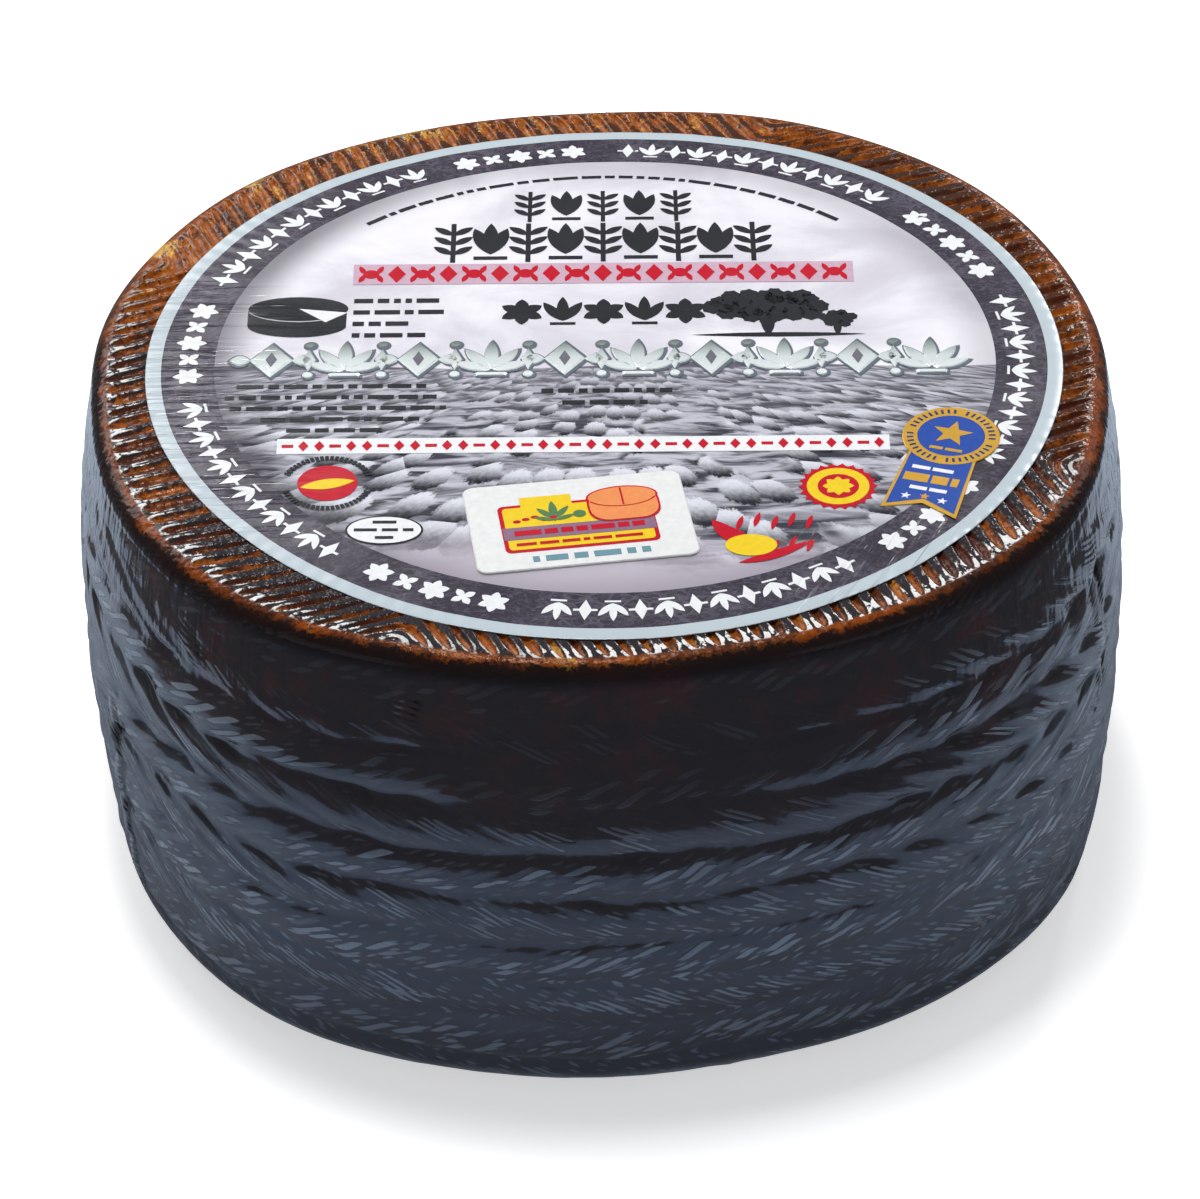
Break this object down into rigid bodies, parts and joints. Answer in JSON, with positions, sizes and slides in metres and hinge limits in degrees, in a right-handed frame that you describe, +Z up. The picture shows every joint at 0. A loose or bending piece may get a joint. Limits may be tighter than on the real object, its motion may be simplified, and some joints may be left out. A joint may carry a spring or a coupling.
{
  "type": "manchego cheese wheel",
  "caption": "Whole wheel of aged manchego in dark glossy wax with a plaited mould print on its side, a ribbed rim, a round paper label and stickers on top.",
  "frame": {"origin": "on the table, under the middle of the wheel", "axes": "+Z up out of the labelled top, -Y towards the lower edge of the label's print, +X to its right"},
  "size_m": [0.2046, 0.2026, 0.1009],
  "materials": {
    "waxed_rind": "glossy near-black wax, worn to amber on the rim",
    "label_paper": "glossy printed paper",
    "card_stock": "satin printed card",
    "foil_sticker": "glossy blue and gold sticker"
  },
  "bodies": {
    "root": {"cheese_wheel": "waxed_rind", "round_label": "label_paper", "control_card": "card_stock", "rosette_sticker": "foil_sticker"}
  },
  "joints": []
}
